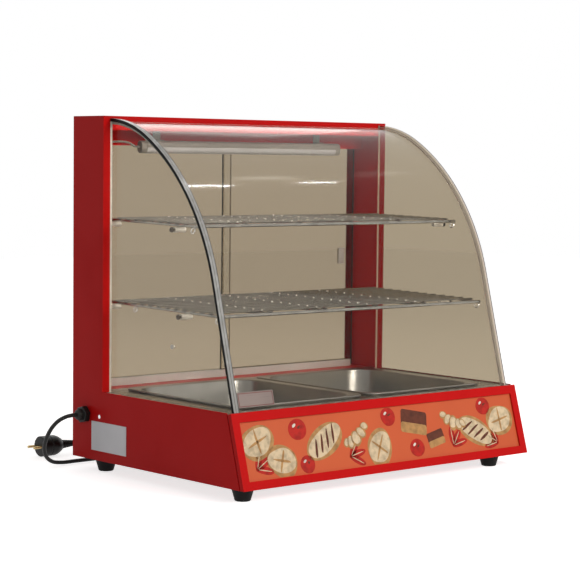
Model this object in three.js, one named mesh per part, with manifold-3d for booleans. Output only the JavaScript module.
// A counter-top heated display case: a red sheet-metal base with a column at the back, a curved
// front glass between two glass sides, two wire shelves, two drop-in pans and sliding glass doors.
// Millimetres. X runs across the case, Z up from the table, and the case stands on Z = 0.
// The case's own pieces are drawn with Y = 0 at the foot of the front and Y growing to the back.

import * as THREE from 'three';
import { mergeVertices } from 'three/addons/utils/BufferGeometryUtils.js';
import Module from 'manifold-3d';

const wasm = await Module();
wasm.setup();

// Driving dimensions
const caseWidth = 660;
const caseDepth = 465;
const caseHeight = 610;
const footHeight = 22;
const baseTop = 141;
const columnDepth = 88;
const frontLean = 34;
const sheet = 1.5;
const steelSheet = 1.2;

// Steps round small turned pieces, and round the six-sided collar of the gland
const smallSegments = 12;
const pilotSegments = 16;
const collarSides = 6;

// Clearance between pieces that meet, and how far a cutting tool runs past what it cuts
const fit = 0.3;
const overrun = 5;

// Column and roof
const flangeWidth = 19;
const beamHeight = 24;
const headerHeight = 49;
const headerRearHeight = 30;
const headerFront = 24;
const deckStep = 1.5;
const sillDepth = 53;

// Front cover and the picture behind its window
const coverDepth = 8;
const coverInset = 0.5;
const coverGap = 1.5;
const windowSide = 15.5;
const windowFoot = 14;
const windowHead = 15.4;
const windowLip = 1.2;
const windowLipDepth = 1.5;
const pictureOverlap = 6;
const pictureThickness = 3;

// Curved glass: straight and leaning back below, then two bends up to the column
const glassThickness = 5;
const glassFoot = 52;
const glassLean = THREE.MathUtils.degToRad(14.7);
const bendStartDepth = 270;
const lowerBendRadius = 370;
const lowerSweep = THREE.MathUtils.degToRad(46);
const upperBendRadius = 214;
const paneProud = 5;
const glassSegments = 10;

// Shelves, and the sleeves that carry them
const railInset = 11;
const railDiameter = 5;
const wireDiameter = 3;
const rodDiameter = 6;
const wireEnd = 5;
const wirePitch = 23;
const wireSink = 0.4;
const wireSides = 6;
const rodSides = 8;
const barDiameter = 4;
const barShares = [-0.65, -0.25, 0.14, 0.53];
const upperShelfClearance = 20.5;
const lowerShelfClearance = 5.5;
const shelfOverhang = 8;
const sleeveDiameter = 9;
const sleeveLength = 23;
const rearSleeveInset = 7;
const upperSleevePlace = 205;
const lowerSleevePlace = 186;
const upperSleeveDrop = 186.7;
const lowerSleeveRise = 140.9;
const shelfTilt = THREE.MathUtils.degToRad(1.15);
const pegScrewDiameter = 4;
const pegScrewHead = 9;
const pegScrewHeadHeight = 2.4;
const paneHole = 5;
const plugPlace = 202;
const plugRise = 91;
const plugHead = 8;
const plugHeadHeight = 1.4;
const plugStem = 4.4;

// Pans
const panSideInset = 48;
const panFrontInset = 67;
const panRearInset = 82;
const panGap = 12;
const panCorner = 22;
const panLip = 10;
const panLipHeight = 2.8;
const panSheet = 1.2;
const panTaper = 10;
const panHollow = 65;
const panFloorBend = 25;
const panHollowCorner = 40;
const beadWidth = 4;
const beadRound = 1;
const collarHeight = 2.5;
const panCornerPoints = 5;
const panBendSteps = 3;

// Steel tub under the pans, and its heating elements
const wellMargin = 7;
const wellFloor = 40;
const wellSheet = 1;
const wellFlange = 12;
const elementDiameter = 8;
const elementHeight = 56;
const elementSpread = 60;
const elementFront = 160;
const elementTail = 14;
const elementSteps = 60;
const elementSides = 8;

// Doors and their tracks
const trackDepth = 17;
const trackWall = 1.6;
const trackRib = 3;
const trackFloor = 2.2;
const lowerTrackHeight = 13;
const upperTrackHeight = 21;
const trackEnd = 21;
const doorThickness = 4;
const doorEnd = 16;
const doorOverlap = 25;
const doorTopEntry = 6;
const pullWidth = 10;
const pullHeight = 30;
const pullThickness = 3;
const pullRecess = 1.6;
const pullRim = 2;
const pullPlace = 46;
const pullDrop = 255;

// Lamp under the roof
const lampEndInset = 97.5;
const lampWidth = 15;
const lampHeight = 22;
const lampDrop = 40.4;
const lampSetback = 28;
const lampCapLength = 12;
const strapWidth = 16;
const strapThickness = 1.2;
const strapFoot = 12;
const strapInset = 52.5;
const leadDiameter = 4;
const leadSideRoom = 8;
const leadFrontRoom = 20;
const leadStub = 8;
const leadBend = 24;
const leadHole = 5.2;
const leadSteps = 48;
const leadSides = 6;
const lampBendPoints = 4;

// Controls on the rear panel, counted from the left side of the case
const controlHeight = 85;
const lightSwitchInset = 80;
const heatSwitchInset = 115;
const pilotInset = 145;
const knobInset = 180;
const knobDiameter = 40;
const knobGripDiameter = 30;
const knobLength = 25;
const knobSkirt = 5;
const knobPointerWidth = 3;
const knobPointerHeight = 1.2;
const shaftDiameter = 6;
const shaftGap = 0.08;
const shaftHole = 10;
const thermostatWidth = 36;
const thermostatDepth = 28;
const switchWidth = 21;
const switchHeight = 30;
const switchBezel = 2;
const switchBodyWidth = 18.4;
const switchBodyHeight = 26.4;
const switchBodyDepth = 20;
const rockerWidth = 14;
const rockerHeight = 23;
const rockerDepth = 5;
const rockerRise = 3;
const rockerPivotDepth = 1.5;
const rockerTilt = THREE.MathUtils.degToRad(8);
const rockerGap = 0.6;
const pilotDiameter = 10;
const pilotRim = 14;
const pilotRimHeight = 1.5;
const pilotDome = 4;
const pilotBody = 18;
const louvreLength = 5;
const louvreHeight = 50;
const louvrePitch = 16;
const louvreCount = 8;
const louvreInset = 93;

// Feet, with the right-hand pair set further in
const footTop = 38;
const footBottom = 27;
const footEdge = 3;
const footPin = 4.4;
const footPinHole = 5;
const footKeeper = 9;
const footKeeperHeight = 1.2;
const leftFootInset = 29;
const rightFootInset = 61.5;
const frontFootInset = 37;
const rearFootInset = 59;
const floorVentLength = 60;
const floorVentWidth = 5;
const floorVentPitch = 20;
const floorVentCount = 8;
const floorVentPlace = 225;

// Plates and screws
const labelWidth = 100;
const labelHeight = 50;
const labelInset = 107;
const labelCentre = 64;
const plateThickness = 0.5;
const badgeWidth = 75;
const badgeHeight = 25;
const badgeInset = 66;
const badgeRise = 6;
const sideScrewInset = 80;
const sideScrewHeight = 98;
const sideScrewHead = 7;
const sideScrewHeadHeight = 1.6;
const sideScrewShank = 4;
const sideScrewLength = 10;

// Gland, cord and plug
const glandInset = 39.6;
const glandHeight = 98.4;
const glandFlats = 26;
const glandFlangeLength = 11;
const glandThread = 16;
const glandThreadLength = 14;
const glandCapDiameter = 19;
const glandCapLength = 9.4;
const glandCapMouth = 11;
const cordDiameter = 7;
const cordSides = 8;
const coilX = -170;
const coilY = 302;
const coilInner = 31.5;
const coilPitch = 7.9;
const coilTurnsEachWay = 2.5;
const coilLayerRise = 7.9;
const coilRest = 5.4;
const coilLoopSteps = 24;
const coilSides = 6;
const cordLeadSteps = 60;
const coilTail = 62;
const plugAxisHeight = 19;
const tieThickness = 1.2;
const tieWidth = 8;
const tieClearance = 0.5;
const reliefLength = 32;
const reliefMouth = 10;
const reliefBase = 17;
const plugDiameter = 37;
const plugBackLength = 16;
const plugBodyLength = 30;
const plugPinDiameter = 4.8;
const plugPinLength = 19;
const plugPinSpacing = 19;

// Places worked out from the driving dimensions
const halfWidth = caseWidth / 2;
const innerHalf = halfWidth - sheet;
const flangeEdge = halfWidth - flangeWidth;
const columnFront = caseDepth - columnDepth;
const roofUnderside = caseHeight - sheet;
const deckTop = baseTop - deckStep;
const deckBottom = deckTop - steelSheet;
const rearPanelFace = caseDepth - sheet - fit;
const rearPanelInside = rearPanelFace - sheet;
const trackRear = rearPanelInside - fit;
const trackFront = trackRear - trackDepth;
const trackHalf = halfWidth - trackEnd;
const headerPlace = caseDepth - headerFront;
const sillFront = caseDepth - sillDepth;
const overallDepth = rearPanelFace + 2 * fit + knobLength;
const paneOuter = flangeEdge + glassThickness;
const paneBack = columnFront - fit;
const railPlace = flangeEdge - railInset;
const rearSleevePlace = columnFront + rearSleeveInset;
const shelfRear = rearSleevePlace + shelfOverhang;
const upperSleeveHeight = caseHeight - upperSleeveDrop;
const lowerSleeveHeight = baseTop + lowerSleeveRise;
const plugHeight = baseTop + plugRise;
const panWidth = (caseWidth - panGap) / 2 - panSideInset;
const panDepth = caseDepth - panFrontInset - panRearInset;
const panCentre = panFrontInset + panDepth / 2;
const pullLevel = caseHeight - pullDrop;
const lampTop = caseHeight - lampDrop;
const lampPlace = columnFront + lampSetback;
const leftFootPlace = leftFootInset - halfWidth;
const rightFootPlace = halfWidth - rightFootInset;
const rearFootPlace = caseDepth - rearFootInset;
const labelPlace = caseDepth - labelInset;
const badgePlace = badgeInset - halfWidth;
const sideScrewPlace = caseDepth - sideScrewInset;
const glandPlace = caseDepth - glandInset;
const lightSwitchPlace = lightSwitchInset - halfWidth;
const heatSwitchPlace = heatSwitchInset - halfWidth;
const pilotPlace = pilotInset - halfWidth;
const knobPlace = knobInset - halfWidth;

// The sloped front, as a frame of its own: X across, Y up the slope, Z out of it
const slopeLength = Math.hypot(frontLean, baseTop - footHeight);
const slopeSine = frontLean / slopeLength;
const slopeCosine = (baseTop - footHeight) / slopeLength;
const slopeFrame = new THREE.Matrix4().makeBasis(
  new THREE.Vector3(1, 0, 0),
  new THREE.Vector3(0, slopeSine, slopeCosine),
  new THREE.Vector3(0, -slopeCosine, slopeSine),
).setPosition(0, 0, footHeight);
const slopeInset = (coverDepth + coverGap) / slopeCosine;
const deckFront = frontLean + (sheet + fit) / slopeCosine;
const floorFront = slopeInset + (steelSheet + 2 * fit + sheet * slopeSine) / slopeCosine;

// Turns a profile drawn in Y and Z, and extruded along its own Z, to run across the case
const acrossCase = new THREE.Matrix4().makeBasis(
  new THREE.Vector3(0, 1, 0),
  new THREE.Vector3(0, 0, 1),
  new THREE.Vector3(1, 0, 0),
);

// Solids from geometry, for joining and cutting
function toSolid(geometry) {
  const bare = geometry.clone();
  bare.deleteAttribute('normal');
  bare.deleteAttribute('uv');
  const merged = mergeVertices(bare);
  const corners = merged.index.array;
  const triangles = [];
  for (let i = 0; i < corners.length; i += 3) {
    const [a, b, c] = corners.slice(i, i + 3);
    if (a !== b && b !== c && c !== a) triangles.push(a, b, c);
  }
  return new wasm.Manifold(new wasm.Mesh({
    numProp: 3,
    vertProperties: merged.attributes.position.array,
    triVerts: new Uint32Array(triangles),
  }));
}

function toGeometry(solid) {
  const { vertProperties, triVerts } = solid.getMesh();
  const geometry = new THREE.BufferGeometry();
  geometry.setAttribute('position', new THREE.BufferAttribute(vertProperties, 3));
  geometry.setIndex(new THREE.BufferAttribute(triVerts, 1));
  geometry.computeVertexNormals();
  return geometry;
}

function join(...geometries) {
  const solids = geometries.map(toSolid);
  return toGeometry(solids.reduce((whole, solid) => whole.add(solid)));
}

function cut(geometry, ...tools) {
  const solids = tools.map(toSolid);
  return toGeometry(solids.reduce((whole, tool) => whole.subtract(tool), toSolid(geometry)));
}

// A box between two places on each axis, given in either order
function slab([x0, x1], [y0, y1], [z0, z1]) {
  const size = [Math.abs(x1 - x0), Math.abs(y1 - y0), Math.abs(z1 - z0)];
  return new THREE.BoxGeometry(...size).translate((x0 + x1) / 2, (y0 + y1) / 2, (z0 + z1) / 2);
}

// A flat outline in X and Y, between two heights
function plate(shape, z0, z1, curveSegments = glassSegments) {
  const options = { depth: z1 - z0, bevelEnabled: false, curveSegments };
  return new THREE.ExtrudeGeometry(shape, options).translate(0, 0, z0);
}

// An outline in Y and Z, run across the case between two places
function beam(shape, x0, x1, curveSegments = glassSegments) {
  const [low, high] = [Math.min(x0, x1), Math.max(x0, x1)];
  return plate(shape, low, high, curveSegments).applyMatrix4(acrossCase);
}

function polygon(points) {
  return new THREE.Shape(points.map(([a, b]) => new THREE.Vector2(a, b)));
}

function roundedRectangle(width, depth, radius, x = 0, y = 0) {
  const [right, top] = [width / 2 - radius, depth / 2 - radius];
  const shape = new THREE.Shape();
  shape.absarc(x + right, y + top, radius, 0, Math.PI / 2, false);
  shape.absarc(x - right, y + top, radius, Math.PI / 2, Math.PI, false);
  shape.absarc(x - right, y - top, radius, Math.PI, Math.PI * 1.5, false);
  shape.absarc(x + right, y - top, radius, Math.PI * 1.5, Math.PI * 2, false);
  shape.closePath();
  return shape;
}

// A turned piece: radius and length pairs, with its axis along +X, +Y or +Z
function turned(profile, axis, segments = 24) {
  const points = profile.map(([radius, along]) => new THREE.Vector2(radius, along));
  const geometry = new THREE.LatheGeometry(points, segments);
  const turn = new THREE.Quaternion().setFromUnitVectors(new THREE.Vector3(0, 1, 0), axis);
  return geometry.applyQuaternion(turn);
}

const alongX = new THREE.Vector3(1, 0, 0);
const alongY = new THREE.Vector3(0, 1, 0);
const alongZ = new THREE.Vector3(0, 0, 1);

function rod(diameter, from, to, axis, segments = 16) {
  const radius = diameter / 2;
  return turned([[0, from], [radius, from], [radius, to], [0, to]], axis, segments);
}

// A round tube along a curve
function tube(curve, diameter, steps, sides) {
  const section = new THREE.Shape();
  for (let i = 0; i < sides; i += 1) {
    const turn = (2 * Math.PI * i) / sides;
    const [x, y] = [(diameter / 2) * Math.cos(turn), (diameter / 2) * Math.sin(turn)];
    if (i === 0) section.moveTo(x, y);
    else section.lineTo(x, y);
  }
  section.closePath();
  return new THREE.ExtrudeGeometry(section, { steps, extrudePath: curve, curveSegments: 1 });
}

// A skin through closed outlines of equal point count, capped flat at the first and the last
function loft(outlines) {
  const count = outlines[0].length;
  const positions = outlines.flat().flatMap(({ x, y, z }) => [x, y, z]);
  const faces = [];
  for (let ringIndex = 0; ringIndex + 1 < outlines.length; ringIndex += 1) {
    for (let i = 0; i < count; i += 1) {
      const [a, b] = [ringIndex * count + i, ringIndex * count + ((i + 1) % count)];
      faces.push(a, b, b + count, a, b + count, a + count);
    }
  }
  const last = (outlines.length - 1) * count;
  for (let i = 1; i + 1 < count; i += 1) {
    faces.push(0, i + 1, i);
    faces.push(last, last + i, last + i + 1);
  }
  const geometry = new THREE.BufferGeometry();
  geometry.setAttribute('position', new THREE.Float32BufferAttribute(positions, 3));
  geometry.setIndex(faces);
  geometry.computeVertexNormals();
  return geometry;
}

// Finishes
const finish = (color, roughness, metalness) => () => (
  new THREE.MeshStandardMaterial({ color, roughness, metalness })
);
const redPaint = finish(0xb01f1c, 0.35, 0);
const brushedSteel = finish(0x9a958c, 0.35, 1);
const chrome = finish(0xc8c8c4, 0.15, 1);
const clearGlass = finish(0xcfd6cf, 0.05, 0);
const whitePlastic = finish(0xe6e2da, 0.5, 0);
const blackPlastic = finish(0x161616, 0.5, 0);
const blackRubber = finish(0x121212, 0.8, 0);
const greyPlastic = finish(0x8f8b84, 0.5, 0);
const darkSteel = finish(0x4b4946, 0.45, 1);

const display = new THREE.Group();
const cabinet = new THREE.Group();
cabinet.position.y = -overallDepth / 2;
display.add(cabinet);

function add(name, geometry, material, parent = cabinet) {
  const mesh = new THREE.Mesh(geometry, material());
  mesh.name = name;
  parent.add(mesh);
  return mesh;
}

// Side panels, each one folded sheet
const glandHole = rod(glandThread + 2 * fit, -halfWidth - overrun, -innerHalf + overrun, alongX)
  .translate(0, glandPlace, glandHeight);

function sidePanel(side) {
  const outline = polygon([
    [slopeInset, footHeight],
    [caseDepth, footHeight],
    [caseDepth, caseHeight],
    [columnFront, caseHeight],
    [columnFront, baseTop],
    [frontLean + slopeInset, baseTop],
  ]);
  const acrossFlange = [side * flangeEdge, side * halfWidth];
  const flangeTop = roofUnderside - fit;
  const frontFlange = slab(acrossFlange, [columnFront, columnFront + sheet], [deckTop + fit, flangeTop]);
  const rearFlange = slab(acrossFlange, [caseDepth - sheet, caseDepth], [footHeight, flangeTop]);
  const wall = beam(outline, side * innerHalf, side * halfWidth);
  const screwHole = rod(sideScrewShank + 2 * fit, -halfWidth - overrun, halfWidth + overrun, alongX)
    .translate(0, sideScrewPlace, sideScrewHeight);
  const holes = side < 0 ? [screwHole, glandHole] : [screwHole];
  return cut(join(wall, frontFlange, rearFlange), ...holes);
}

add('left_side_panel', sidePanel(-1), redPaint);
add('right_side_panel', sidePanel(1), redPaint);

// Ventilated floor of the base, with the feet pushed into it
const feetPlaces = [
  [leftFootPlace, frontFootInset],
  [rightFootPlace, frontFootInset],
  [leftFootPlace, rearFootPlace],
  [rightFootPlace, rearFootPlace],
];

function baseFloor() {
  const across = [fit - innerHalf, innerHalf - fit];
  const floor = slab(across, [floorFront, rearPanelInside - fit], [footHeight, footHeight + sheet]);
  const through = [footHeight - overrun, footHeight + sheet + overrun];
  const pinHoles = feetPlaces.map(([x, y]) => rod(footPinHole, ...through, alongZ).translate(x, y, 0));
  const vents = [];
  for (let i = 0; i < floorVentCount; i += 1) {
    const x = (i - (floorVentCount - 1) / 2) * floorVentPitch;
    const widths = [x - floorVentWidth / 2, x + floorVentWidth / 2];
    const lengths = [floorVentPlace - floorVentLength / 2, floorVentPlace + floorVentLength / 2];
    vents.push(slab(widths, lengths, through));
  }
  return cut(floor, ...pinHoles, ...vents);
}

function foot() {
  const top = footHeight - fit;
  const keeper = footHeight + sheet + fit;
  return turned([
    [0, 0],
    [footBottom / 2 - footEdge, 0],
    [footBottom / 2, footEdge],
    [footTop / 2, top],
    [footPin / 2, top],
    [footPin / 2, keeper],
    [footKeeper / 2, keeper],
    [footPin / 2, keeper + footKeeperHeight],
    [0, keeper + footKeeperHeight],
  ], alongZ);
}

add('base_floor', baseFloor(), redPaint);
feetPlaces.forEach(([x, y]) => {
  const name = `${y === frontFootInset ? 'front' : 'rear'}_${x < 0 ? 'left' : 'right'}_foot`;
  add(name, foot().translate(x, y, 0), blackRubber);
});

// Sloped front: a tray-shaped cover with a window, the picture behind it and a closing wall
const coverHalf = halfWidth - coverInset;
const windowAcross = [windowSide - halfWidth, halfWidth - windowSide];
const windowUp = [windowFoot, slopeLength - windowHead];
const pictureFront = -sheet - windowLipDepth - fit;
const pictureBack = pictureFront - pictureThickness;
const wallFront = -coverDepth - fit;
const wallBack = wallFront - steelSheet;

function frontCover() {
  const face = slab([-coverHalf, coverHalf], [0, slopeLength], [-sheet, 0]);
  const grown = ([low, high]) => [low - windowLip, high + windowLip];
  const lip = slab(grown(windowAcross), grown(windowUp), [-sheet - windowLipDepth, 0]);
  const opening = slab(windowAcross, windowUp, [-coverDepth, overrun]);
  const sides = [-1, 1].map((side) => (
    slab([side * coverHalf, side * (coverHalf - sheet)], [0, slopeLength], [-coverDepth, 0])
  ));
  const tray = cut(join(face, lip, ...sides), opening).applyMatrix4(slopeFrame);
  const foot = slab([-coverHalf, coverHalf], [sheet, coverDepth], [footHeight, footHeight + sheet]);
  const below = slab([-halfWidth, halfWidth], [-overrun, coverDepth + overrun], [0, footHeight]);
  return cut(join(tray, foot), below);
}

function behindWindow(front, back) {
  const across = windowAcross.map((x) => x + Math.sign(x) * pictureOverlap);
  const up = [windowUp[0] - pictureOverlap, windowUp[1] + pictureOverlap];
  return slab(across, up, [front, back]).applyMatrix4(slopeFrame);
}

function frontWall() {
  const low = (sheet + 2 * fit - wallBack * slopeSine) / slopeCosine;
  const high = (deckBottom - fit - footHeight) / slopeCosine;
  const across = [fit - innerHalf, innerHalf - fit];
  return slab(across, [low, high], [wallBack, wallFront]).applyMatrix4(slopeFrame);
}

add('front_cover', frontCover(), redPaint);
add('picture_panel', behindWindow(pictureFront, pictureBack), finish(0xc85a32, 0.3, 0));
add('front_wall', frontWall(), brushedSteel);

// Steel deck with two raised collars that the pans hang in
const panPlaces = [-(panGap + panWidth) / 2, (panGap + panWidth) / 2];
const holeInset = panLip - panSheet - wireDiameter / 2;
const leadX = leadSideRoom - innerHalf;
const leadY = columnFront + sheet + leadFrontRoom;

function panOutline(inset, x, radius = panCorner - inset) {
  return roundedRectangle(panWidth - 2 * inset, panDepth - 2 * inset, radius, x, panCentre);
}

function deck() {
  const reach = coverHalf - sheet - fit;
  const across = [-reach, reach];
  let solid = slab(across, [deckFront, sillFront - fit], [deckBottom, deckTop]);
  const collars = panPlaces.map((x) => (
    plate(panOutline(holeInset - steelSheet, x), deckBottom, deckTop + collarHeight, panCornerPoints)
  ));
  const holes = panPlaces.map((x) => (
    plate(panOutline(holeInset, x), deckBottom - overrun, baseTop + overrun, panCornerPoints)
  ));
  solid = join(solid, ...collars);
  const leadWay = rod(leadHole, deckBottom - overrun, deckTop + overrun, alongZ).translate(leadX, leadY, 0);
  return cut(solid, ...holes, leadWay);
}

add('deck', deck(), brushedSteel);

// Drawn pans with a rolled rim and rounder corners below it, as outlines going in from the rim
function pan(x) {
  const lipBottom = deckTop + collarHeight + fit;
  const lipTop = lipBottom + panSheet;
  const rimTop = lipBottom + panLipHeight - beadRound;
  const beadBottom = lipBottom - beadRound;
  const floorTop = lipTop - panHollow;
  const bend = (inset, radius, z, from) => {
    const steps = [];
    for (let i = 0; i <= panBendSteps; i += 1) {
      const turn = (Math.PI / 2) * (from === 'wall' ? i / panBendSteps : 1 - i / panBendSteps);
      steps.push([inset + radius * (1 - Math.cos(turn)), z + radius * (1 - Math.sin(turn))]);
    }
    return steps;
  };
  const outside = panLip - panSheet;
  const rings = [
    ...bend(outside + panTaper, panFloorBend + panSheet, floorTop - panSheet, 'floor'),
    [outside, lipBottom],
    [beadWidth, lipBottom],
    [beadWidth, beadBottom],
    [beadRound, beadBottom],
    [0, lipBottom],
    [0, rimTop - beadRound],
    [beadRound, rimTop],
    [beadWidth - beadRound, rimTop],
    [beadWidth, lipTop],
    [panLip, lipTop],
    ...bend(panLip + panTaper, panFloorBend, floorTop, 'wall'),
  ];
  const outlines = rings.map(([inset, z]) => {
    const radius = inset < outside ? panCorner - inset : panHollowCorner;
    const points = panOutline(inset, x, radius).getPoints(panCornerPoints);
    points.pop();
    return points.map((point) => new THREE.Vector3(point.x, point.y, z));
  });
  return loft(outlines);
}

add('left_pan', pan(panPlaces[0]), brushedSteel);
add('right_pan', pan(panPlaces[1]), brushedSteel);

// Tub under the pans, hung from the deck
const wellHalf = panWidth + panGap / 2 + wellMargin;
const wellFront = panCentre - panDepth / 2 - wellMargin;
const wellRear = panCentre + panDepth / 2 + wellMargin;
const elementLegs = panPlaces.flatMap((x) => [x - elementSpread, x + elementSpread]);

function heatWell() {
  const top = deckBottom - fit;
  const reach = (amount, z0, z1) => slab(
    [-wellHalf - amount, wellHalf + amount],
    [wellFront - amount, wellRear + amount],
    [z0, z1],
  );
  const shell = join(reach(wellSheet, wellFloor, top), reach(wellFlange, top - wellSheet, top));
  const hollow = reach(0, wellFloor + wellSheet, top + overrun);
  const legHoles = elementLegs.map((x) => (
    rod(elementDiameter + 2 * fit, wellRear - overrun, wellRear + overrun, alongY)
      .translate(x, 0, elementHeight)
  ));
  return cut(shell, hollow, ...legHoles);
}

// One bent element: two legs out through the tub's back and a round bend at the front
function heater(x) {
  const path = new THREE.CurvePath();
  const back = wellRear + elementTail;
  const corner = (px, py) => new THREE.Vector3(px, py, elementHeight);
  const kappa = (4 / 3) * (Math.SQRT2 - 1) * elementSpread;
  const front = elementFront - elementSpread;
  const [left, right] = [x - elementSpread, x + elementSpread];
  path.add(new THREE.LineCurve3(corner(left, back), corner(left, elementFront)));
  path.add(new THREE.CubicBezierCurve3(
    corner(left, elementFront),
    corner(left, elementFront - kappa),
    corner(x - kappa, front),
    corner(x, front),
  ));
  path.add(new THREE.CubicBezierCurve3(
    corner(x, front),
    corner(x + kappa, front),
    corner(right, elementFront - kappa),
    corner(right, elementFront),
  ));
  path.add(new THREE.LineCurve3(corner(right, elementFront), corner(right, back)));
  return tube(path, elementDiameter, elementSteps, elementSides);
}

add('heat_well', heatWell(), brushedSteel);
add('left_heater', heater(panPlaces[0]), darkSteel);
add('right_heater', heater(panPlaces[1]), darkSteel);

// Rear panel, folded forward over the base as the sill in front of the doors
const switchPlaces = [heatSwitchPlace, lightSwitchPlace];

function rearPanel() {
  const across = [fit - innerHalf, innerHalf - fit];
  const back = slab(across, [rearPanelInside, rearPanelFace], [footHeight + sheet + fit, deckTop]);
  const sill = slab(across, [sillFront, rearPanelFace], [deckTop - sheet, deckTop]);
  const through = [rearPanelInside - overrun, rearPanelFace + overrun];
  const round = (diameter, x) => rod(diameter, ...through, alongY).translate(x, 0, controlHeight);
  const switchHoles = switchPlaces.map((x) => slab(
    [x - switchBodyWidth / 2 - fit, x + switchBodyWidth / 2 + fit],
    through,
    [controlHeight - switchBodyHeight / 2 - fit, controlHeight + switchBodyHeight / 2 + fit],
  ));
  const louvres = [];
  for (let i = 0; i < louvreCount; i += 1) {
    const x = halfWidth - louvreInset - louvreLength - i * louvrePitch;
    const up = [controlHeight - louvreHeight / 2, controlHeight + louvreHeight / 2];
    louvres.push(slab([x, x + louvreLength], through, up));
  }
  const rounds = [round(shaftHole, knobPlace), round(pilotDiameter + 2 * fit, pilotPlace)];
  return cut(join(back, sill), ...switchHoles, ...rounds, ...louvres);
}

add('rear_panel', rearPanel(), redPaint);

// Roof with the front beam, and the header that hides the upper track
function roof() {
  const plateAcross = [fit - innerHalf, innerHalf - fit];
  const beamAcross = [fit - flangeEdge, flangeEdge - fit];
  const top = slab(plateAcross, [columnFront, rearPanelFace], [roofUnderside, caseHeight]);
  const beamFoot = caseHeight - beamHeight;
  const front = slab(beamAcross, [columnFront, columnFront + sheet], [beamFoot, caseHeight]);
  const lip = slab(beamAcross, [columnFront, columnFront + strapFoot], [beamFoot, beamFoot + sheet]);
  return join(top, front, lip);
}

function rearHeader() {
  const high = roofUnderside - fit;
  const innerFoot = caseHeight - headerHeight;
  const outerFoot = caseHeight - headerRearHeight;
  const outline = polygon([
    [headerPlace, innerFoot],
    [headerPlace + sheet, innerFoot],
    [headerPlace + sheet, high - sheet],
    [rearPanelInside, high - sheet],
    [rearPanelInside, outerFoot],
    [rearPanelFace, outerFoot],
    [rearPanelFace, high],
    [headerPlace, high],
  ]);
  return beam(outline, fit - innerHalf, innerHalf - fit);
}

add('roof', roof(), redPaint);
add('rear_header', rearHeader(), redPaint);

// Curved glass profile, offset outwards by any amount, as arcs in Y and Z
const bendHeight = caseHeight - bendStartDepth;
const bendPlace = glassFoot + (bendHeight - deckTop) * Math.tan(glassLean);
const lowerCentre = [
  bendPlace + lowerBendRadius * Math.cos(glassLean),
  bendHeight - lowerBendRadius * Math.sin(glassLean),
];
const bendTurn = glassLean + lowerSweep;
const upperCentre = [
  lowerCentre[0] - (lowerBendRadius - upperBendRadius) * Math.cos(bendTurn),
  lowerCentre[1] + (lowerBendRadius - upperBendRadius) * Math.sin(bendTurn),
];
const glassBottom = deckTop + fit;
const upperBendStart = upperCentre[1] + upperBendRadius * Math.sin(bendTurn);

// Where the inside of the glass stands at a height
function glassPlaceAt(height) {
  if (height < bendHeight) return glassFoot + (height - deckTop) * Math.tan(glassLean);
  const inLowerBend = height < upperBendStart;
  const centre = inLowerBend ? lowerCentre : upperCentre;
  const radius = inLowerBend ? lowerBendRadius : upperBendRadius;
  return centre[0] - Math.sqrt(radius ** 2 - (height - centre[1]) ** 2);
}

function glassFootPlace(offset) {
  return glassFoot + (glassBottom - deckTop) * Math.tan(glassLean) - offset / Math.cos(glassLean);
}

function glassTopTurn(offset) {
  return Math.acos((upperCentre[0] - paneBack) / (upperBendRadius + offset));
}

function riseAlongGlass(shape, offset) {
  const top = glassTopTurn(offset);
  shape.moveTo(glassFootPlace(offset), glassBottom);
  shape.lineTo(
    lowerCentre[0] - (lowerBendRadius + offset) * Math.cos(glassLean),
    lowerCentre[1] + (lowerBendRadius + offset) * Math.sin(glassLean),
  );
  shape.absarc(...lowerCentre, lowerBendRadius + offset, Math.PI - glassLean, Math.PI - bendTurn, true);
  shape.absarc(...upperCentre, upperBendRadius + offset, Math.PI - bendTurn, Math.PI - top, true);
}

function fallAlongGlass(shape, offset) {
  const top = glassTopTurn(offset);
  shape.absarc(...upperCentre, upperBendRadius + offset, Math.PI - top, Math.PI - bendTurn, false);
  shape.absarc(...lowerCentre, lowerBendRadius + offset, Math.PI - bendTurn, Math.PI - glassLean, false);
}

function curvedStrip(inner, outer, x0, x1) {
  const shape = new THREE.Shape();
  riseAlongGlass(shape, outer);
  fallAlongGlass(shape, inner);
  shape.lineTo(glassFootPlace(inner), glassBottom);
  shape.closePath();
  return beam(shape, x0, x1);
}

const sleevePlaces = [
  [upperSleevePlace, upperSleeveHeight],
  [rearSleevePlace, upperSleeveHeight + (rearSleevePlace - upperSleevePlace) * Math.tan(shelfTilt)],
  [lowerSleevePlace, lowerSleeveHeight],
  [rearSleevePlace, lowerSleeveHeight + (rearSleevePlace - lowerSleevePlace) * Math.tan(shelfTilt)],
];
const panePegs = sleevePlaces.filter(([y]) => y < paneBack - sleeveDiameter);

function glassPane(side) {
  const shape = new THREE.Shape();
  const edge = glassThickness + paneProud;
  riseAlongGlass(shape, edge);
  shape.lineTo(paneBack, glassBottom);
  shape.closePath();
  const pane = beam(shape, side * flangeEdge, side * paneOuter);
  const holes = [...panePegs, [plugPlace, plugHeight]].map(([y, z]) => (
    rod(paneHole, -paneOuter - overrun, paneOuter + overrun, alongX, smallSegments).translate(0, y, z)
  ));
  return cut(pane, ...holes);
}

const glassAcross = [fit - flangeEdge, flangeEdge - fit];
add('front_glass', curvedStrip(0, glassThickness, ...glassAcross), clearGlass);
add('left_glass_pane', glassPane(-1), clearGlass);
add('right_glass_pane', glassPane(1), clearGlass);

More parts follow.
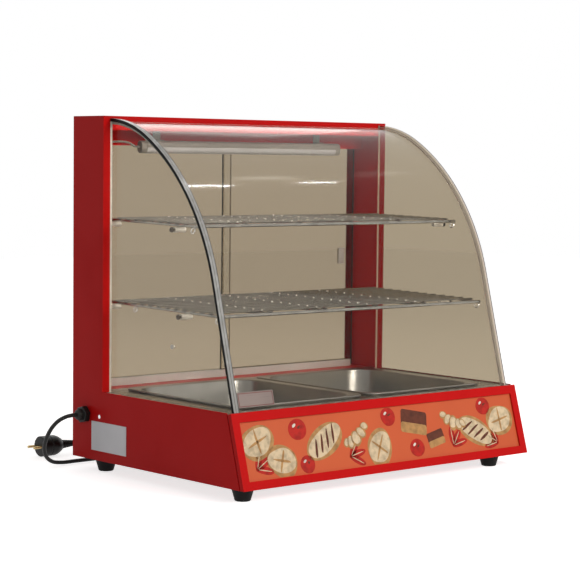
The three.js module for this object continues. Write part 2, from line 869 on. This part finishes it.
// Shelves: a wire frame falling a little to the front, with wires across it
function shelf(clearance, sleevePlace, sleeveHeight) {
  const rest = sleeveHeight + (sleeveDiameter + railDiameter) / 2 + fit;
  const front = glassPlaceAt(rest) + clearance;
  const depth = shelfRear - front;
  const parts = [-1, 1].map((side) => (
    rod(railDiameter, 0, depth, alongY, wireSides).translate(side * railPlace, 0, 0)
  ));
  const reach = railPlace + railDiameter / 2;
  [0, depth].forEach((y) => parts.push(rod(rodDiameter, -reach, reach, alongX, rodSides).translate(0, y, 0)));
  barShares.forEach((share) => {
    const bar = rod(barDiameter, 0, depth, alongY, wireSides);
    parts.push(bar.translate(share * railPlace, 0, (railDiameter - barDiameter) / 2));
  });
  const wireReach = railPlace + wireEnd;
  const wireHeight = (railDiameter + wireDiameter) / 2 - wireSink;
  for (let y = wirePitch; y < depth - wirePitch / 2; y += wirePitch) {
    parts.push(rod(wireDiameter, -wireReach, wireReach, alongX, wireSides).translate(0, y, wireHeight));
  }
  const frontHeight = rest - (sleevePlace - front) * Math.tan(shelfTilt);
  return join(...parts).rotateX(shelfTilt).translate(0, front, frontHeight);
}

add('upper_shelf', shelf(upperShelfClearance, upperSleevePlace, upperSleeveHeight), chrome);
add('lower_shelf', shelf(lowerShelfClearance, lowerSleevePlace, lowerSleeveHeight), chrome);

// Pieces fixed through a side wall are drawn for the right side and turned round for the left
function onSide(geometry, side, y, z) {
  const turnedRound = side < 0 ? geometry.rotateZ(Math.PI) : geometry;
  return turnedRound.translate(0, y, z);
}

// Sleeves under the shelves: the front ones are screwed through the pane, the rear ones stand off
// the side panel
function paneSleeve() {
  const tip = flangeEdge - sleeveLength;
  const seat = flangeEdge - fit;
  const headStart = paneOuter + fit;
  const headEnd = headStart + pegScrewHeadHeight;
  return turned([
    [0, tip],
    [sleeveDiameter / 2, tip],
    [sleeveDiameter / 2, seat],
    [pegScrewDiameter / 2, seat],
    [pegScrewDiameter / 2, headStart],
    [pegScrewHead / 2, headStart],
    [pegScrewHead / 2, headEnd],
    [0, headEnd],
  ], alongX, smallSegments);
}

function wallSleeve() {
  return rod(sleeveDiameter, flangeEdge - sleeveLength, innerHalf - fit, alongX, smallSegments);
}

[-1, 1].forEach((side) => {
  const sideName = side < 0 ? 'left' : 'right';
  sleevePlaces.forEach(([y, z]) => {
    const atFront = y < paneBack - sleeveDiameter;
    const level = z > (upperSleeveHeight + lowerSleeveHeight) / 2 ? 'upper' : 'lower';
    const name = `${level}_${atFront ? 'front' : 'rear'}_${sideName}_peg`;
    const sleeve = atFront ? paneSleeve() : wallSleeve();
    add(name, onSide(sleeve, side, y, z), whitePlastic);
  });
});

function holePlug() {
  const headStart = paneOuter + fit;
  return turned([
    [0, flangeEdge],
    [plugStem / 2, flangeEdge],
    [plugStem / 2, headStart],
    [plugHead / 2, headStart],
    [plugHead / 2, headStart + plugHeadHeight],
    [0, headStart + plugHeadHeight],
  ], alongX, smallSegments);
}

add('hole_plug', onSide(holePlug(), -1, plugPlace, plugHeight), whitePlastic);

// Twin-slot tracks, open upwards on the sill and downwards under the header
const slotWidth = (trackDepth - 2 * trackWall - trackRib) / 2;
const innerSlot = trackFront + trackWall + slotWidth / 2;
const outerSlot = trackRear - trackWall - slotWidth / 2;
const lowerTrackBottom = deckTop + fit;
const upperTrackTop = roofUnderside - sheet - 2 * fit;
const upperTrackBottom = upperTrackTop - upperTrackHeight;

function doorTrack(bottom, top, slotBottom, slotTop) {
  const block = slab([-trackHalf, trackHalf], [trackFront, trackRear], [bottom, top]);
  const slots = [innerSlot, outerSlot].map((y) => slab(
    [-trackHalf - overrun, trackHalf + overrun],
    [y - slotWidth / 2, y + slotWidth / 2],
    [slotBottom, slotTop],
  ));
  return cut(block, ...slots);
}

function lowerTrack() {
  const top = lowerTrackBottom + lowerTrackHeight;
  return doorTrack(lowerTrackBottom, top, lowerTrackBottom + trackFloor, top + overrun);
}

function upperTrack() {
  return doorTrack(
    upperTrackBottom,
    upperTrackTop,
    upperTrackBottom - overrun,
    upperTrackTop - trackFloor,
  );
}

add('lower_track', lowerTrack(), whitePlastic);
add('upper_track', upperTrack(), whitePlastic);

// Glass doors, each in its own slot, with a finger pull on the outside
function door(side, slotCentre) {
  const across = [-side * (doorOverlap / 2), side * (halfWidth - doorEnd)];
  const up = [lowerTrackBottom + trackFloor + fit, upperTrackBottom + doorTopEntry];
  return slab(across, [slotCentre - doorThickness / 2, slotCentre + doorThickness / 2], up);
}

function doorPull(side, slotCentre) {
  const face = slotCentre + doorThickness / 2 + fit;
  const x = side * (halfWidth - pullPlace);
  const block = slab(
    [x - pullWidth / 2, x + pullWidth / 2],
    [face, face + pullThickness],
    [pullLevel - pullHeight / 2, pullLevel + pullHeight / 2],
  );
  const hollow = slab(
    [x - pullWidth / 2 + pullRim, x + pullWidth / 2 - pullRim],
    [face + pullThickness - pullRecess, face + pullThickness + overrun],
    [pullLevel - pullHeight / 2 + pullRim, pullLevel + pullHeight / 2 - pullRim],
  );
  return cut(block, hollow);
}

add('right_door', door(1, innerSlot), clearGlass);
add('left_door', door(-1, outerSlot), clearGlass);
add('right_pull', doorPull(1, innerSlot), whitePlastic);
add('left_pull', doorPull(-1, outerSlot), whitePlastic);

// Lamp: a slim housing closed at both ends, with the tube as its lower half
const lampHalf = halfWidth - lampEndInset;
const lampMiddle = lampTop - lampHeight / 2;
const strapPlace = lampHalf - strapInset;

function lampSection(x0, x1) {
  const outline = roundedRectangle(lampWidth, lampHeight, lampWidth / 2, lampPlace, lampMiddle);
  return beam(outline, x0, x1, lampBendPoints);
}

function lampHousing() {
  const between = lampHalf - lampCapLength;
  const below = slab(
    [-between, between],
    [lampPlace - lampWidth, lampPlace + lampWidth],
    [lampTop - lampHeight - overrun, lampMiddle],
  );
  return cut(lampSection(-lampHalf, lampHalf), below);
}

function lampTube() {
  const between = lampHalf - lampCapLength - fit;
  const above = slab(
    [-lampHalf, lampHalf],
    [lampPlace - lampWidth, lampPlace + lampWidth],
    [lampMiddle - fit, lampTop + overrun],
  );
  return cut(lampSection(-between, between), above);
}

function lampBracket(side) {
  const top = roofUnderside - fit;
  const bottom = lampTop + fit;
  const across = [side * strapPlace, side * (strapPlace + strapWidth)];
  const [near, far] = [lampPlace, lampPlace + strapFoot];
  const upright = slab(across, [far, far + strapThickness], [bottom, top]);
  const upperFoot = slab(across, [near, far + strapThickness], [top - strapThickness, top]);
  const lowerFoot = slab(across, [near, far + strapThickness], [bottom, bottom + strapThickness]);
  return join(upright, upperFoot, lowerFoot);
}

function lampLead() {
  const height = lampMiddle + lampWidth / 2;
  const start = -lampHalf - fit;
  const route = new THREE.CatmullRomCurve3([
    new THREE.Vector3(start, lampPlace, lampMiddle),
    new THREE.Vector3(start - leadStub, lampPlace, lampMiddle),
    new THREE.Vector3(start - leadBend, lampPlace, height),
    new THREE.Vector3(leadX + leadBend, lampPlace, height),
    new THREE.Vector3(leadX + leadDiameter, leadY, height - leadDiameter),
    new THREE.Vector3(leadX, leadY, height - leadBend),
    new THREE.Vector3(leadX, leadY, deckTop + leadDiameter),
    new THREE.Vector3(leadX, leadY, deckBottom - leadDiameter),
  ], false, 'centripetal');
  return tube(route, leadDiameter, leadSteps, leadSides);
}

add('lamp_housing', lampHousing(), greyPlastic);
add('lamp_tube', lampTube(), finish(0xd8d4cc, 0.4, 0));
add('left_lamp_bracket', lampBracket(-1), brushedSteel);
add('right_lamp_bracket', lampBracket(1), brushedSteel);
add('lamp_lead', lampLead(), greyPlastic);

// Controls on the rear panel
const controlFace = rearPanelFace + fit;
const knobFace = rearPanelFace + 2 * fit;
const knobEnd = knobFace + knobLength;
const shaftEnd = knobEnd - knobSkirt;

function thermostat() {
  const back = rearPanelInside - fit;
  const half = thermostatWidth / 2;
  const body = slab([-half, half], [back - thermostatDepth, back], [-half, half]);
  const shaft = rod(shaftDiameter, back - overrun, shaftEnd - fit, alongY);
  return join(body, shaft).translate(knobPlace, 0, controlHeight);
}

function thermostatKnob() {
  const bore = shaftDiameter / 2 + shaftGap;
  const body = turned([
    [0, shaftEnd],
    [bore, shaftEnd],
    [bore, knobFace],
    [knobDiameter / 2, knobFace],
    [knobDiameter / 2, knobFace + knobSkirt],
    [knobGripDiameter / 2, knobFace + knobSkirt],
    [knobGripDiameter / 2, knobEnd],
    [0, knobEnd],
  ], alongY);
  const mark = slab(
    [-knobPointerWidth / 2, knobPointerWidth / 2],
    [knobEnd - knobPointerHeight, knobEnd + overrun],
    [shaftDiameter, knobGripDiameter],
  );
  return cut(body, mark).translate(knobPlace, 0, controlHeight);
}

const pocketFloor = controlFace + switchBezel - rockerDepth - rockerPivotDepth;

function switchBody(x) {
  const bezel = slab(
    [-switchWidth / 2, switchWidth / 2],
    [controlFace, controlFace + switchBezel],
    [-switchHeight / 2, switchHeight / 2],
  );
  const body = slab(
    [-switchBodyWidth / 2, switchBodyWidth / 2],
    [controlFace - switchBodyDepth, controlFace + switchBezel],
    [-switchBodyHeight / 2, switchBodyHeight / 2],
  );
  const pocket = slab(
    [-rockerWidth / 2 - rockerGap, rockerWidth / 2 + rockerGap],
    [pocketFloor, controlFace + overrun],
    [-rockerHeight / 2 - rockerGap, rockerHeight / 2 + rockerGap],
  );
  return cut(join(bezel, body), pocket).translate(x, 0, controlHeight);
}

function rocker(x) {
  const pivot = controlFace + switchBezel - rockerPivotDepth;
  const block = slab(
    [-rockerWidth / 2, rockerWidth / 2],
    [-rockerDepth / 2, rockerRise],
    [-rockerHeight / 2, rockerHeight / 2],
  );
  return block.rotateX(rockerTilt).translate(x, pivot, controlHeight);
}

function pilotLamp() {
  return turned([
    [0, controlFace - pilotBody],
    [pilotDiameter / 2, controlFace - pilotBody],
    [pilotDiameter / 2, controlFace],
    [pilotRim / 2, controlFace],
    [pilotRim / 2, controlFace + pilotRimHeight],
    [pilotDiameter / 2, controlFace + pilotRimHeight],
    [pilotDiameter / 2, controlFace + pilotDome],
    [0, controlFace + pilotDome],
  ], alongY, pilotSegments).translate(pilotPlace, 0, controlHeight);
}

add('thermostat', thermostat(), darkSteel);
add('thermostat_knob', thermostatKnob(), blackPlastic);
add('heat_switch', switchBody(heatSwitchPlace), blackPlastic);
add('heat_rocker', rocker(heatSwitchPlace), finish(0xb02318, 0.4, 0));
add('light_switch', switchBody(lightSwitchPlace), blackPlastic);
add('light_rocker', rocker(lightSwitchPlace), finish(0x2c7a3f, 0.4, 0));
add('pilot_lamp', pilotLamp(), finish(0xd8801e, 0.3, 0));

// Plates: one on the left side, one low on the curved glass
function labelPlate() {
  const face = halfWidth + fit;
  return slab(
    [-face, -face - plateThickness],
    [labelPlace - labelWidth / 2, labelPlace + labelWidth / 2],
    [labelCentre - labelHeight / 2, labelCentre + labelHeight / 2],
  );
}

function badgePlate() {
  const glassFrame = new THREE.Matrix4().makeBasis(
    new THREE.Vector3(1, 0, 0),
    new THREE.Vector3(0, Math.sin(glassLean), Math.cos(glassLean)),
    new THREE.Vector3(0, -Math.cos(glassLean), Math.sin(glassLean)),
  ).setPosition(0, glassFootPlace(glassThickness), glassBottom);
  return slab(
    [badgePlace - badgeWidth / 2, badgePlace + badgeWidth / 2],
    [badgeRise, badgeRise + badgeHeight],
    [fit, fit + plateThickness],
  ).applyMatrix4(glassFrame);
}

add('label_plate', labelPlate(), finish(0xb9b7b2, 0.4, 0.6));
add('badge_plate', badgePlate(), finish(0xd9d6cf, 0.4, 0.2));

// Screws in the sides
function sideScrew() {
  const seat = halfWidth + fit;
  return turned([
    [0, innerHalf - sideScrewLength],
    [sideScrewShank / 2, innerHalf - sideScrewLength],
    [sideScrewShank / 2, seat],
    [sideScrewHead / 2, seat],
    [sideScrewHead / 2, seat + sideScrewHeadHeight / 2],
    [sideScrewHead / 4, seat + sideScrewHeadHeight],
    [0, seat + sideScrewHeadHeight],
  ], alongX, smallSegments);
}

add('left_side_screw', onSide(sideScrew(), -1, sideScrewPlace, sideScrewHeight), chrome);
add('right_side_screw', onSide(sideScrew(), 1, sideScrewPlace, sideScrewHeight), chrome);

// Cord gland through the left side: a threaded stem, a six-sided collar and a round cap
const glandSeat = halfWidth + fit;
const glandMouth = glandSeat + glandFlangeLength + glandCapLength;

function cordGland() {
  const stem = rod(glandThread, innerHalf - glandThreadLength, glandSeat + overrun, alongX);
  const corner = glandFlats / Math.cos(Math.PI / collarSides);
  const collar = rod(corner, glandSeat, glandSeat + glandFlangeLength, alongX, collarSides);
  const capStart = glandSeat + glandFlangeLength - overrun;
  const cap = turned([
    [0, capStart],
    [glandCapDiameter / 2, capStart],
    [glandCapDiameter / 2, glandMouth - glandCapLength / 2],
    [glandCapMouth / 2, glandMouth],
    [0, glandMouth],
  ], alongX);
  return join(stem, collar, cap);
}

add('cord_gland', onSide(cordGland(), -1, glandPlace, glandHeight), blackPlastic);

// Mains cord: from the gland back and down behind the case, then round a tied coil to the plug
const coilSpiral = coilPitch * coilTurnsEachWay;
const coilOuter = coilInner + coilSpiral;
const coilTop = coilRest + coilLayerRise;
const coilEntry = new THREE.Vector3(coilX, coilY - coilOuter, coilRest);
const coilExit = new THREE.Vector3(coilX, coilY + coilOuter, coilTop);
const glandExit = new THREE.Vector3(-glandMouth - fit, glandPlace - overallDepth / 2, glandHeight);

const leadRoute = [
  glandExit,
  [-359, 181, 98.4],
  [-370, 183, 96.5],
  [-380, 190, 90],
  [-385, 203, 77],
  [-385, 219, 58],
  [-380, 234, 38],
  [-369, 244.5, 20],
  [-352, 249.7, 8.9],
  [-332, 250.6, 5.6],
  [-300, 250.7, 5.4],
  [-260, 250.7, 5.4],
  [-220, 250.7, 5.4],
  [-190, 250.7, 5.4],
  coilEntry.clone().setX(coilX - cordDiameter - fit),
].map((point) => (Array.isArray(point) ? new THREE.Vector3(...point) : point));

// Round and inwards in the lower layer, up where the spiral turns back, and outwards in the upper
function coilPoint(turns) {
  const climb = turns - coilTurnsEachWay;
  const wayUp = THREE.MathUtils.clamp(climb * 2, 0, 1);
  const dip = (coilPitch / (2 * Math.PI)) * Math.sin(Math.PI * wayUp);
  const inwards = Math.max(-climb, 0);
  const outwards = Math.max(climb - 1 / 2, 0);
  const radius = coilInner + coilPitch * (inwards + outwards) - dip;
  const turn = 2 * Math.PI * turns - Math.PI / 2;
  const height = coilRest + coilLayerRise * THREE.MathUtils.smoothstep(wayUp, 0, 1);
  return new THREE.Vector3(coilX + radius * Math.cos(turn), coilY + radius * Math.sin(turn), height);
}

function coilPoints() {
  const turns = 2 * coilTurnsEachWay + 1 / 2;
  const steps = turns * coilLoopSteps;
  const points = [coilEntry.clone().setX(coilX - cordDiameter)];
  for (let i = 0; i <= steps; i += 1) points.push(coilPoint(i / coilLoopSteps));
  const plugStart = coilX - coilTail;
  const rise = plugAxisHeight - coilTop;
  for (let share = 1 / 6; share < 1; share += 1 / 6) {
    const x = THREE.MathUtils.lerp(coilX, plugStart + cordDiameter, share);
    const z = coilTop + rise * THREE.MathUtils.smoothstep(share, 0, 1);
    points.push(new THREE.Vector3(x, coilExit.y, z));
  }
  points.push(new THREE.Vector3(plugStart + cordDiameter, coilExit.y, plugAxisHeight));
  points.push(new THREE.Vector3(plugStart, coilExit.y, plugAxisHeight));
  return points;
}

function smoothCurve(points) {
  const curve = new THREE.CatmullRomCurve3(points, false, 'centripetal');
  curve.arcLengthDivisions = points.length * 16;
  return curve;
}

// Least distance between stretches of the wound cord that are more than half a loop apart
function leastGap(points) {
  let least = Infinity;
  const apart = coilLoopSteps / 2;
  points.forEach((point, i) => {
    points.slice(i + apart).forEach((other) => {
      least = Math.min(least, point.distanceTo(other));
    });
  });
  return least - cordDiameter;
}

const leadCurve = smoothCurve(leadRoute);
const woundPoints = coilPoints();
const coilCurve = smoothCurve(woundPoints);
const leadLength = leadCurve.getLength();
const coilLength = coilCurve.getLength();
const coilSteps = woundPoints.length - 1;
console.log('least gap in the coil', leastGap(coilCurve.getSpacedPoints(coilSteps)).toFixed(2));
console.log('cord length', leadLength.toFixed(0), '+', coilLength.toFixed(0));

add('cord_lead', tube(leadCurve, cordDiameter, cordLeadSteps, cordSides), blackRubber, display);
add('cord_coil', tube(coilCurve, cordDiameter, coilSteps, coilSides), blackRubber, display);

// Strap round the coil, where all its loops lie side by side
function coilTie() {
  const margin = cordDiameter / 2 + tieClearance;
  const quarter = coilPitch / 4;
  const across = [coilInner + quarter - margin, coilOuter - quarter + margin];
  const up = [coilRest - margin, coilTop + margin];
  const grown = ([low, high]) => [low - tieThickness, high + tieThickness];
  const along = [-tieWidth / 2, tieWidth / 2];
  const band = slab(grown(across), along, grown(up));
  const hollow = slab(across, [-tieWidth, tieWidth], up);
  return cut(band, hollow).translate(coilX, coilY, 0);
}

add('coil_tie', coilTie(), blackPlastic, display);

// Round plug with two pins, its strain relief tapering to the cord
function plug() {
  const backStart = reliefLength;
  const bodyStart = backStart + plugBackLength;
  const end = bodyStart + plugBodyLength;
  const body = turned([
    [0, 0],
    [reliefMouth / 2, 0],
    [reliefBase / 2, backStart],
    [plugDiameter / 2, bodyStart],
    [plugDiameter / 2, end],
    [0, end],
  ], alongX);
  const pins = [-1, 1].map((side) => (
    rod(plugPinDiameter, end - overrun, end + plugPinLength, alongX, smallSegments)
      .translate(0, (side * plugPinSpacing) / 2, 0)
  ));
  const start = coilX - coilTail - fit;
  return join(body, ...pins).rotateZ(Math.PI).translate(start, coilExit.y, plugAxisHeight);
}

add('plug', plug(), blackPlastic, display);

export default display;
